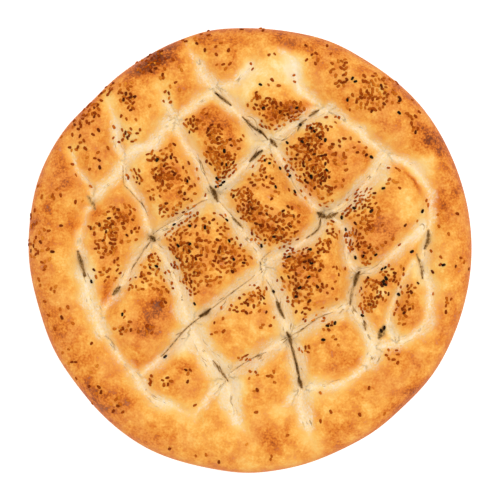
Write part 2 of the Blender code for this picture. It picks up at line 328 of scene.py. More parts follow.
# Folds at the bottom of the grooves, dented and darkened with painted shade: darkness of the shade and of
# the dent, half width and points, in millimetres. Open slits and fingertip holes come first, then the fine
# creases that join them
FOLDS = (
    (0.63, 1.2, ((-23, 106), (-18, 102), (-13, 98))),
    (0.68, 1.0, ((-5, 90), (0, 85), (4, 82), (8, 80), (12, 75))),
    (0.76, 1.3, ((5, 82), (9, 79))),
    (0.72, 1.5, ((14, 75), (18, 70))),
    (0.72, 1.3, ((0, 60), (4, 64), (8, 67))),
    (0.68, 1.6, ((-27, 43), (-24, 38), (-22, 33))),
    (0.59, 1.1, ((-12, 22), (-8, 18), (-5, 15))),
    (0.85, 2.2, ((-67.5, 9), (-65, 6.5))),
    (0.35, 3.5, ((-69, 10), (-66, 7))),
    (0.56, 1.9, ((-116, -1), (-114, -9), (-111, -17))),
    (0.56, 0.8, ((-115, -3), (-114, -7))),
    (0.77, 1.4, ((-34, -45), (-30, -43), (-27, -40))),
    (0.68, 1.3, ((18, -35), (20, -40), (23, -46))),
    (0.72, 1.5, ((25, -56), (27, -60), (28, -65))),
    (0.68, 1.0, ((27, -62), (30, -72), (32, -80), (34, -89))),
    (0.77, 1.6, ((33, -87), (35, -93))),
    (0.52, 1.0, ((-25, -75), (-21, -80), (-18, -85), (-15, -89))),
    (0.8, 2.2, ((46, 25), (51, 22.5))),
    (0.62, 1.6, ((48, 24), (53, 22.5), (59, 25))),
    (0.77, 1.8, ((74, -15), (72, -19), (71, -24))),
    (0.48, 1.4, ((71, -23), (69, -29), (68, -37))),
    (0.54, 1.2, ((77, -48), (78, -54))),
    (0.68, 2.7, ((90, -52), (87, -59))),
    (0.65, 1.6, ((120, 13), (120, 7), (118, 1))),
    (0.54, 1.6, ((112, -3), (115, -10), (116, -19))),
    (0.6, 1.6, ((-92, -30), (-88, -25))),
    (0.36, 1.3, ((-97, -58), (-93, -62), (-91, -67))),
    (0.46, 2.2, ((-109, 36), (-106, 31), (-104, 27))),
    (0.3, 0.5, ((-3, 54), (1, 61))),
    (0.32, 0.5, ((-35, 63), (-30, 50), (-26, 42))),
    (0.34, 0.5, ((-22, 34), (-12, 23), (-9, 20))),
    (0.41, 1.0, ((-68, 5), (-72, 0), (-75, -5), (-80, -13))),
    (0.4, 0.5, ((-69, 23), (-72, 30), (-76, 34), (-81, 40), (-85, 45), (-86, 57))),
    (0.34, 0.5, ((-64, 12), (-58, 16), (-51, 20), (-41, 27))),
    (0.44, 0.5, ((-41, 27), (-34, 32), (-29, 34))),
    (0.5, 0.6, ((-60, -72), (-56, -68), (-45, -55), (-37, -48), (-30, -43))),
    (0.42, 0.5, ((-30, -43), (-20, -35), (-11, -28), (0, -20), (3, -17))),
    (0.36, 0.6, ((8, -15), (7, -10), (9, -5), (14, -1))),
    (0.38, 0.5, ((11, -20), (15, -27), (19, -36))),
    (0.44, 0.5, ((28, -58), (33, -55), (39, -51), (46, -46), (56, -42))),
    (0.4, 0.5, ((-13, -83), (-9, -80), (-3, -76), (4, -72), (11, -69))),
    (0.28, 0.6, ((-16, -88), (-20, -93), (-24, -97))),
    (0.52, 0.9, ((48, 22), (47, 16), (44, 12), (38, 8))),
    (0.3, 0.5, ((58, 26), (64, 30), (69, 35), (73, 41), (77, 45))),
    (0.28, 0.8, ((85, 53), (88, 58))),
    (0.3, 0.5, ((68, -12), (73, -16), (79, -14), (85, -11), (89, -7))),
    (0.58, 1.0, ((32, 80), (34, 85), (38, 88))),
    (0.5, 1.2, ((40, 90), (46, 94))),
    (0.34, 0.7, ((53, 93), (58, 90), (60, 88))),
    (0.3, 0.5, ((15, 76), (22, 74), (27, 77), (31, 81))),
    (0.3, 0.4, ((22, 57), (27, 50), (31, 42), (37, 35), (42, 30))),
    (0.32, 0.4, ((52, -90), (56, -88), (60, -87))),
    (0.2, 1.8, ((80, 75), (84, 72))),
    (0.2, 1.6, ((86, 70), (89, 67))),
    (0.26, 1.8, ((-84, -77), (-82, -81))),
)

# Ovals of crust that browned more or less than the rest: amount, middle, half lengths across and
# along, and turn, in millimetres and degrees
HEATS = (
    # Pillows
    (0.26, -25, 91, 13, 10), (0.14, -13, 86, 5, 9), (-0.12, -8, 68, 5, 6), (0.08, -24, 76, 16, 16),
    (-0.3, 15, 120, 22, 14), (0.24, 19, 93, 20, 8), (0.26, 37, 96, 6, 7), (0.04, 54, 71, 18, 16),
    (0.18, 76, 64, 6, 10), (-0.35, 2, 73, 7, 13), (0.18, 4, 15, 14, 10), (0.22, 30, -8, 10, 9),
    (0.18, -58, 50, 9, 9), (-0.18, -81, 82, 12, 8), (-0.4, -41, -62, 7, 5), (-0.32, -38, 73, 5, 8, 30),
    (-0.15, -78, 57, 6, 6), (0.22, -104, 26, 7, 6), (0.25, -76, -76, 9, 7), (-0.25, 104, 31, 7, 8),
    (-0.08, 12, 37, 13, 13), (0.13, 35, 26, 7, 14), (-0.2, 44, 8, 8, 5, 30), (0.1, -93, 10, 14, 20),
    (-0.04, 55, -17, 8, 14), (0.16, 91, 14, 15, 16), (0.14, -62, -42, 12, 14), (0.17, -62, -38, 8, 8),
    (-0.25, -63, 26, 4, 9), (0.28, -71, -52, 8, 7), (-0.25, -13, -27, 8, 6), (-0.35, -9, -91, 6, 8),
    (-0.07, -3, -51, 16, 12), (0.12, 8, -44, 5, 6), (-0.15, -82, -37, 8, 8), (0.15, -20, -57, 5, 6),
    (0.17, -40, -77, 9, 7), (-0.35, -47, -68, 5, 5), (0.2, 14, -100, 8, 4), (0.28, 70, -76, 6, 7),
    (0.2, 98, -66, 5, 5), (0.1, 54, -80, 10, 5), (0.12, 56, -71, 11, 9), (0.12, 108, -41, 9, 13),
    (0.5, -96, -32, 7, 7), (0.08, 97, 49, 7, 10), (0.42, 107, 48, 14, 1.8, -53), (0.08, -98, 74, 12, 14),
    (0.1, -73, 97, 8, 8), (0.09, -43, 108, 10, 10), (-0.03, -19, 127, 11, 10), (0.15, -12, 127, 2.5, 11),
    (0.2, -55, 75, 8, 6), (-0.14, 7, 122, 8, 13),
    # Rim, from the top clockwise
    (0.2, 30, 137, 17, 6), (0.16, 0, 149, 32, 4), (-0.38, 27, 119, 6, 9, 10), (-0.35, -3, 112, 5, 16),
    (0.3, 118, 74, 18, 9, -52), (0.2, 138, 46, 9, 14, -15), (0.12, 100, 108, 12, 6, -45),
    (-0.3, 113, 55, 8, 12, -45), (0.24, 127, 30, 7, 14), (-0.14, 127, -20, 6, 24), (0.05, 117, -66, 8, 8),
    (0.1, 108, -73, 9, 9), (0.14, 81, -91, 12, 8, 40), (0.14, 102, -102, 18, 5, 45),
    (0.1, 58, -125, 12, 9, 30), (0.06, 37, -133, 5, 7), (0.2, 12, -123, 14, 10), (-0.12, 4, -145, 28, 6),
    (0.12, -58, -125, 20, 9, -20), (0.24, -102, -100, 17, 8, -45), (0.12, -85, -105, 10, 6),
    (0.12, -124, -59, 9, 24, 28), (0.2, -34, 138, 10, 7), (0.12, -43, 126, 7, 9), (0.12, -135, 17, 9, 14),
    (0.2, -120, 14, 4, 10), (-0.24, -107, -17, 7, 14), (-0.12, -82, 4, 6, 10), (-0.36, 112, -16, 5, 12),
    (-0.06, -125, 34, 5, 12), (0.26, -124, 41, 4, 8), (0.16, -126, 52, 9, 20, -15),
    (0.12, -118, 85, 24, 8, 50), (0.36, -64, 127, 25, 9, 33), (0.1, 126, -48, 6, 10),
    (-0.15, 47, -100, 10, 6), (-0.14, 25, -144, 18, 6), (-0.1, -35, -122, 16, 10),
    (-0.08, 75, -108, 12, 10), (0.12, -17, 139, 16, 5), (-0.3, 116, 14, 5, 16), (0.14, 24, 136, 9, 6),
    (0.12, 0, 132, 14, 5), (0.16, -19, 115, 9, 5), (0.12, 142, 7, 5, 9), (0.05, -105, -82, 13, 5),
    (0.25, 123, 35, 4, 6), (-0.12, 28, -139, 7, 9), (-0.14, 20, -118, 6, 5), (0.14, 62, -105, 7, 5),
    (0.14, 41, -109, 6, 7), (0.1, -85, -98, 12, 6),
    # Smaller spots on and between the pillows
    (0.22, -91, 57, 6, 8), (0.16, -41, 98, 7, 5), (0.16, 37, 42, 9, 5), (0.16, 61, 95, 11, 5, -30),
    (0.16, 69, 12, 5, 13), (0.16, 71, -41, 6, 7), (0.18, 33, -1, 5, 5), (0.14, -60, -30, 8, 5),
    (0.16, -52, -41, 5, 7), (0.16, -28, -97, 5, 6), (0.14, -10, -111, 6, 7), (0.14, 54, -27, 7, 5),
    (-0.24, 51, 83, 7, 5), (-0.18, 58, 71, 6, 6), (-0.3, -37, 24, 11, 4, 20), (-0.18, -88, 78, 6, 5),
    (-0.16, -73, 57, 6, 9), (-0.14, -97, 13, 7, 7), (-0.25, -48, -58, 4, 8), (-0.26, -22, -79, 6, 5),
    (-0.2, -10, 101, 5, 6), (-0.14, 13, 101, 10, 4), (-0.16, 44, 10, 5, 5), (-0.2, 88, -28, 5, 4),
    (-0.14, 6, -37, 7, 8), (-0.14, -7, -92, 6, 8), (-0.12, -64, -18, 6, 5), (-0.1, -20, 25, 14, 6),
    (0.18, 78, 44, 6, 5), (0.16, 74, 0, 5, 7), (0.16, -110, 29, 5, 5), (0.1, 127, 64, 8, 4),
)

SESAME_PATCHES = tuple(Patch(*row) for row in (
    # Pillows, row by row from the top left
    (-104, 63, 13, 12, 8), (-86, 103, 4, 4, 7), (-79, 98, 3, 6, 12), (-81, 77, 6, 5, 9),
    (-79, 86, 16, 19, 10), (-81, 110, 4, 3, 4), (-55, 110, 9, 12, 9), (-23, 129, 11, 10, 9),
    (-65, 62, 4, 4, 9), (-54, 64, 6, 8, 15), (-58, 51, 8, 6, 30), (-77, 49, 6, 5, 13), (-42, 52, 9, 8, 12),
    (-57, 42, 5, 3, 8), (-42, 39, 12, 6, 14), (-63, 38, 5, 6, 6), (-56, 27, 6, 5, 12), (-43, 28, 10, 5, 10),
    (-39, 84, 5, 6, 15), (-30, 88, 4, 7, 6), (-24, 79, 6, 5, 16), (-20, 71, 10, 4, 20), (-25, 63, 5, 6, 18),
    (-14, 62, 5, 5, 14), (-17, 54, 7, 6, 24), (-19, 45, 6, 3, 3), (-6, 72, 3, 5, 4), (3, 99, 5, 6, 10),
    (13, 94, 7, 7, 26), (27, 93, 10, 6, 34), (15, 85, 10, 4, 11), (16, 120, 19, 16, 9), (36, 52, 5, 8, 12),
    (43, 79, 6, 6, 24), (39, 70, 10, 5, 26), (28, 60, 6, 9, 20), (43, 60, 9, 6, 32), (42, 49, 9, 6, 24),
    (44, 39, 11, 6, 18), (65, 66, 14, 9, 20), (60, 49, 9, 9, 10), (53, 86, 12, 6, 8), (51, 31, 7, 3, 5),
    (9, 59, 8, 6, 13), (8, 46, 10, 6, 18), (-6, 37, 7, 5, 24), (0, 27, 8, 7, 36), (17, 24, 8, 7, 14),
    (27, 22, 6, 8, 12), (9, 11, 9, 8, 36), (23, 10, 8, 9, 28), (23, 32, 12, 9, 9), (-92, 23, 5, 7, 14),
    (-82, 25, 7, 6, 15), (-101, 15, 6, 5, 7), (-93, 12, 5, 6, 18), (-97, 2, 8, 6, 20),
    (-95, -12, 12, 9, 13), (-80, 11, 9, 8, 10), (-51, 13, 7, 7, 16), (-38, 17, 8, 8, 18),
    (-22, 18, 9, 8, 18), (-47, 2, 7, 6, 22), (-33, 1, 8, 7, 17), (-16, 3, 10, 7, 22), (-37, -10, 12, 7, 34),
    (-16, -7, 10, 8, 30), (-3, -5, 5, 6, 8), (-40, -19, 6, 4, 10), (-26, -19, 10, 5, 11),
    (-38, -27, 5, 5, 8), (-50, -18, 5, 10, 7), (28, -6, 6, 7, 32), (38, -2, 5, 6, 15), (50, 2, 7, 6, 16),
    (41, -10, 8, 7, 20), (26, -20, 8, 8, 22), (42, -24, 9, 7, 18), (33, -33, 8, 5, 16),
    (41, -42, 11, 6, 12), (56, -19, 9, 16, 10), (55, 13, 5, 6, 12), (69, 29, 8, 7, 24), (79, 27, 8, 5, 13),
    (76, 16, 7, 6, 20), (70, 6, 6, 6, 26), (78, -3, 6, 7, 15), (91, 12, 14, 16, 7), (77, 38, 6, 5, 16),
    (96, 48, 6, 10, 8), (-65, -7, 4, 6, 11), (-66, -14, 9, 7, 15), (-76, -23, 6, 5, 9),
    (-60, -25, 8, 5, 10), (-60, -35, 6, 3, 6), (-84, -51, 6, 5, 8), (-76, -47, 19, 14, 7),
    (-67, -54, 2, 3, 3), (-94, -15, 8, 7, 4), (1, -28, 11, 6, 20), (-3, -37, 17, 5, 18),
    (-22, -52, 6, 13, 5), (10, -48, 7, 7, 5), (-2, -73, 6, 4, 6), (-67, -87, 3, 3, 4), (-56, -87, 4, 3, 5),
    (-42, -80, 3, 8, 4), (3, -83, 5, 5, 4), (17, -81, 8, 8, 4), (3, -94, 2, 2, 2), (52, -50, 4, 5, 7),
    (57, -60, 12, 5, 4), (37, -67, 5, 3, 6), (81, -26, 7, 8, 26), (78, -37, 5, 5, 16), (95, -16, 9, 9, 18),
    (89, -31, 6, 6, 6), (106, -26, 5, 5, 10), (100, -43, 4, 8, 13), (106, -37, 3, 3, 6),
    # Rim, from the top right clockwise
    (59, 118, 6, 10, 16), (82, 101, 11, 9, 42), (83, 110, 10, 8, 17), (69, 98, 7, 5, 6),
    (95, 105, 8, 12, 12), (63, 123, 2, 5, 5), (45, 131, 12, 8, 9), (110, 91, 6, 14, 8), (110, 81, 2, 3, 3),
    (133, 7, 15, 61, 16), (120, 0, 15, 34, 7), (96, -70, 5, 6, 7), (68, -105, 34, 14, 6),
    (-17, -123, 51, 21, 10), (-87, -104, 7, 7, 8), (-108, -92, 14, 18, 7), (-124, -63, 19, 29, 13),
    (-137, -23, 8, 15, 7), (-118, 32, 14, 29, 7), (-137, 3, 8, 14, 16), (-146, 11, 4, 19, 14),
    (-133, 42, 11, 8, 7), (-115, 80, 14, 14, 20), (-107, 92, 6, 9, 18), (-95, 106, 10, 7, 12),
    (-74, 123, 8, 5, 10), (-63, 129, 8, 5, 16), (-56, 121, 12, 7, 8), (-36, 144, 13, 6, 9),
    (2, 149, 12, 3, 4),
))

# Each nigella seed that shows, in millimetres, row by row from the top
NIGELLA_PLACES = (
    (7, 110), (68, 114), (70, 112), (65, 100), (99, 91), (9, 95), (31, 95), (41, 81), (43, 79), (47, 74),
    (50, 73), (35, 72), (25, 72), (41, 49), (51, 53), (10, 60), (13, 58), (20, 55), (27, 50), (30, 39),
    (17, 42), (16, 9), (8, 3), (-17, 66), (-16, 57), (-22, 48), (-20, 44), (-23, 43), (-18, 46), (-16, 20),
    (-51, 17), (-40, 16), (-30, 15), (-48, 3), (-40, 4), (-49, -5), (-14, 6), (-11, -6), (-63, -11),
    (-37, -36), (26, -5), (40, 0), (41, -9), (39, -18), (33, -25), (16, -28), (31, -31), (70, 28), (81, 26),
    (65, 14), (71, -5), (76, -4), (84, -3), (91, -12), (89, -13), (115, 26), (108, -1), (90, -23), (100, -30),
    (76, -44), (88, -54), (90, -52), (52, -51), (57, -49), (49, -60), (-57, -72), (-85, -43), (-106, -21),
    (89, 41), (81, 62), (129, -10), (91, -19), (89, -21), (34, 84), (62, 22), (-62, 60), (-42, 46),
)


# Finishes


class CrustNodes(NamedTuple):
    """What the crust's nodes read: the loaf's fields, and noises of several sizes."""

    tree: Tree
    place: Socket
    tone: Socket
    glow: Socket
    pale: Socket
    # The folds' painted shade, darker deeper in the fold
    fold: Socket
    base: Socket
    edge: Socket
    mottle: Node
    speckle: Node
    cloud: Node
    skin: Node
    wrinkle: Node


@dataclass(frozen=True)
class BakedCrust:
    """Wheat dough brushed with flour paste and baked on a hot stone floor.

    Where the dough stood up it browned from gold to chestnut, and where fingers pressed it down it stayed
    cream, with dry flour in it. The paste leaves a soft sheen on the browned parts and none on the flour.
    """

    tones: tuple = (
        (0.00, "#FCE4B5"), (0.12, "#FBDC99"), (0.25, "#FACF7C"), (0.38, "#F9BF60"), (0.50, "#F6AB4A"),
        (0.62, "#EB963A"), (0.74, "#DF7C24"), (0.87, "#BC5C17"), (1.00, "#7A3713"),
    )
    # Painted shade of the folds and creases, from its light edge to its darkest
    folds: tuple = ((0.0, "#E6C795"), (0.5, "#A07840"), (1.0, "#40260F"))
    flour: str = "#F6EEE2"
    salmon: str = "#EA9A56"
    blush: str = "#C4683A"
    base: tuple = (
        (0.0, "#A2622A"), (0.36, "#AE7030"), (0.47, "#C58B43"), (0.58, "#D2A05A"), (0.68, "#DDB478"),
        (1.0, "#E4C08A"),
    )
    roughness_flour: float = 0.80
    roughness_browned: float = 0.50
    specular: float = 0.12
    mottle_mm: float = 6.5
    mottle_reach: float = 0.75
    speckle_mm: float = 1.5
    speckle_reach: float = 0.42
    speckle_growth: tuple = (0.4, 0.9, 0.5, 1.0)
    cloud_mm: float = 19.0
    wrinkle_mm: tuple = (1.5, 9.0)
    # Thin lines of painted shade along the wrinkles of the bare dough
    wrinkle_shade_lines: tuple = (0.54, 0.72, 0.0, 0.46)
    torn: float = 1.2
    frayed: float = 0.6
    bare_edge: tuple = (1.02, 1.92)
    glow_heat: float = 0.50
    bare_heat: float = 0.36
    salmon_clouds: tuple = (0.46, 0.62, 0.0, 0.42)
    salmon_heat: float = 0.58
    sifted_flour: tuple = (0.38, 0.65, 0.08, 0.74)
    # Where the folds' painted shade breaks up, and where it starts and is full
    fold_shade_breaks: tuple = (0.30, 0.62, 0.45, 1.25)
    fold_shade_edge: tuple = (0.04, 0.55)
    pore_mm: float = 2.3
    pore_share: float = 0.5
    crease_share: float = -1.6
    skin_mm: float = 0.9
    relief_mm: float = 0.55

    def material(self) -> bpy.types.Material:
        """Build the crust's material from the loaf's fields."""
        material, tree, shader = new_material("baked_wheat_crust")
        given = self.given(tree)
        bare = self.bare_dough(given)
        heat = self.browning(given, bare)
        feed(shader, {
            "Base Color": self.paint_fold_shade(given, bare, self.colour(given, bare, heat)),
            "Roughness": add_node(tree, "MapRange", {
                0: heat, 3: self.roughness_flour, 4: self.roughness_browned}),
            "Normal": self.relief(given, bare),
            "Specular IOR Level": self.specular})
        return material

    def given(self, tree: Tree) -> CrustNodes:
        """Read the loaf's fields and add the noises."""
        place = add_node(tree, "TexCoord").outputs["Object"]
        fields = [add_node(tree, "Attribute", attribute_name=name).outputs["Fac"]
                  for name in ("tone", "glow", "pale", "fold", "base", "edge")]
        noises = [add_node(tree, "TexNoise", {"Vector": place, "Scale": 1 / (size * MM), "Detail": 3.0,
                                              "Roughness": 0.6})
                  for size in (self.mottle_mm, self.speckle_mm, self.cloud_mm, self.skin_mm)]
        return CrustNodes(tree, place, *fields, *noises, self.wrinkles(tree))

    def wrinkles(self, tree: Tree) -> Node:
        """Noise drawn out along the grooves, as the dough's skin wrinkles where it is pressed down."""
        run = add_node(tree, "Attribute", attribute_name="run").outputs["Vector"]
        across, along = self.wrinkle_mm
        drawn = (1 / (across * MM), 1 / (along * MM), 1.0)
        scaled = add_node(tree, "VectorMath", (run, drawn), operation="MULTIPLY")
        return add_node(tree, "TexNoise", {
            "Vector": scaled, "Scale": 1.0, "Detail": 2.0, "Distortion": 0.4})

    def bare_dough(self, given: CrustNodes) -> Node:
        """Leave the grooves pale, with a ragged edge.

        Args:
            given: The fields and noises.

        Returns:
            How much of the surface stayed unbrowned.
        """
        tree = given.tree
        torn = add_node(tree, "Math", (given.mottle, self.torn, given.pale), operation="MULTIPLY_ADD")
        frayed = add_node(tree, "Math", (given.speckle, self.frayed, torn), operation="MULTIPLY_ADD")
        return add_node(tree, "MapRange", (frayed, *self.bare_edge), interpolation_type="SMOOTHSTEP")

    def browning(self, given: CrustNodes, bare: Node) -> Node:
        """Brown the crust, blotched and flecked.

        Args:
            given: The fields and noises.
            bare: How much stayed unbrowned.

        Returns:
            Browning from 0 for cream to 1 for scorched.
        """
        tree = given.tree
        warmed = add_node(
            tree, "Math", (given.mottle, self.mottle_reach, given.tone), operation="MULTIPLY_ADD")
        centred = add_node(tree, "Math", (warmed, self.mottle_reach / 2), operation="SUBTRACT")
        fleck = add_node(tree, "MapRange", {
            0: given.speckle, 3: -self.speckle_reach, 4: self.speckle_reach})
        strong = add_node(tree, "MapRange", (given.tone, *self.speckle_growth))
        level = add_node(tree, "Math", (fleck, strong, centred), operation="MULTIPLY_ADD")
        golden = add_node(tree, "MapRange", {0: given.glow, 3: 1.0, 4: self.glow_heat})
        cream = add_node(tree, "MapRange", {0: bare, 3: 1.0, 4: self.bare_heat})
        both = add_node(tree, "Math", (golden, cream), operation="MULTIPLY")
        return add_node(tree, "Math", (level, both), operation="MULTIPLY", use_clamp=True)

    def colour(self, given: CrustNodes, bare: Node, heat: Node) -> Node:
        """Colour the crust: golden or salmon, reddish at the rim's edge, floury in the grooves.

        Args:
            given: The fields and noises.
            bare: How much stayed unbrowned.
            heat: Browning.

        Returns:
            The colour, with the underside's toasted patches.
        """
        tree = given.tree
        browned = add_node(tree, "ValToRGB", (heat,), stops=self.tones)
        warm = add_node(
            tree, "MapRange", (given.cloud, *self.salmon_clouds), interpolation_type="SMOOTHSTEP")
        mellow = add_node(tree, "Math", (heat, self.salmon_heat), operation="PINGPONG")
        ripe = add_node(tree, "Math", (warm, mellow), operation="MULTIPLY")
        rosy = add_node(tree, "Mix", {0: ripe, 6: browned, 7: linear(self.salmon)}, data_type="RGBA")
        edged = add_node(tree, "Mix", {0: given.edge, 6: rosy, 7: linear(self.blush)}, data_type="RGBA")
        sifted = add_node(tree, "MapRange", (given.speckle, *self.sifted_flour))
        dusty = add_node(tree, "Math", (bare, sifted), operation="MULTIPLY")
        floury = add_node(tree, "Mix", {0: dusty, 6: edged, 7: linear(self.flour)}, data_type="RGBA")
        stove = add_node(tree, "ValToRGB", (given.cloud,), stops=self.base)
        return add_node(tree, "Mix", {0: given.base, 6: floury, 7: stove}, data_type="RGBA")

    def paint_fold_shade(self, given: CrustNodes, bare: Node, colour: Node) -> Node:
        """Paint shade into the folds, and finely into the wrinkles of the bare dough.

        Args:
            given: The fields and noises.
            bare: How much stayed unbrowned.
            colour: The crust's colour.

        Returns:
            The colour with the folds' painted shade.
        """
        tree = given.tree
        lines = add_node(
            tree, "MapRange", (given.wrinkle, *self.wrinkle_shade_lines), interpolation_type="SMOOTHSTEP")
        fine = add_node(tree, "Math", (lines, bare), operation="MULTIPLY")
        broken = add_node(tree, "MapRange", (given.speckle, *self.fold_shade_breaks))
        # Painted shade: the folds, broken up, and the fine lines in the wrinkles
        deep = add_node(tree, "Math", (given.fold, broken, fine), operation="MULTIPLY_ADD", use_clamp=True)
        shade = add_node(tree, "ValToRGB", (deep,), stops=self.folds)
        share = add_node(tree, "MapRange", (deep, *self.fold_shade_edge), interpolation_type="SMOOTHSTEP")
        return add_node(tree, "Mix", {0: share, 6: colour, 7: shade}, data_type="RGBA")

    def relief(self, given: CrustNodes, bare: Node) -> Node:
        """Raise the fine relief: burst pores and a rough skin, and wrinkles in the grooves.

        Args:
            given: The fields and noises.
            bare: How much stayed unbrowned.

        Returns:
            The bent normal.
        """
        tree = given.tree
        pores = add_node(tree, "TexVoronoi", {
            "Vector": given.place, "Scale": 1 / (self.pore_mm * MM),
            "Randomness": 1.0}, feature="SMOOTH_F1")
        rough = add_node(tree, "Math", (pores, self.pore_share, given.skin), operation="MULTIPLY_ADD")
        creased = add_node(tree, "Math", (given.wrinkle, bare), operation="MULTIPLY")
        height = add_node(tree, "Math", (creased, self.crease_share, rough), operation="MULTIPLY_ADD")
        return add_node(tree, "Bump", {"Height": height, "Distance": self.relief_mm * MM, "Strength": 0.8})


@dataclass(frozen=True)
class RoastedSeed:
    """A seed roasted on the crust: its oily skin darkens unevenly and keeps a little gloss."""

    name: str
    tones: tuple
    roughness: float
    specular: float
    unevenness: float = 0.3
    skin_mm: float = 0.5
    relief_mm: float = 0.08

    def material(self) -> bpy.types.Material:
        """Build the seeds' material from each seed's toast."""
        material, tree, shader = new_material(self.name)
        place = add_node(tree, "TexCoord").outputs["Object"]
        toast = add_node(tree, "Attribute", attribute_name="toast").outputs["Fac"]
        skin = add_node(tree, "TexNoise", {
            "Vector": place, "Scale": 1 / (self.skin_mm * MM), "Detail": 2.0})
        uneven = add_node(
            tree, "Math", (skin, self.unevenness, -self.unevenness / 2), operation="MULTIPLY_ADD")
        heat = add_node(tree, "Math", (toast, uneven), operation="ADD", use_clamp=True)
        feed(shader, {
            "Base Color": add_node(tree, "ValToRGB", (heat,), stops=self.tones),
            "Normal": add_node(tree, "Bump", {
                "Height": skin, "Distance": self.relief_mm * MM, "Strength": 0.5}),
            "Roughness": self.roughness,
            "Specular IOR Level": self.specular})
        return material


@dataclass(frozen=True)
class OpalSheet:
    """Matt opal acrylic lit from below, which takes the shadows away as in a cut-out photograph."""

    colour: str = "#FBFBFA"
    glow: float = 0.45
    roughness: float = 0.9
    frosting_mm: float = 2.0
    frosting_relief_mm: float = 0.02

    def material(self) -> bpy.types.Material:
        """Build the sheet's material."""
        material, tree, shader = new_material("lit_opal_acrylic")
        place = add_node(tree, "TexCoord").outputs["Object"]
        frosting = add_node(tree, "TexNoise", {"Vector": place, "Scale": 1 / (self.frosting_mm * MM)})
        feed(shader, {
            "Normal": add_node(tree, "Bump", {
                "Height": frosting, "Distance": self.frosting_relief_mm * MM, "Strength": 0.2}),
            "Base Color": linear(self.colour),
            "Emission Color": linear(self.colour),
            "Emission Strength": self.glow,
            "Roughness": self.roughness,
            "Specular IOR Level": 0.0})
        return material


# Pieces


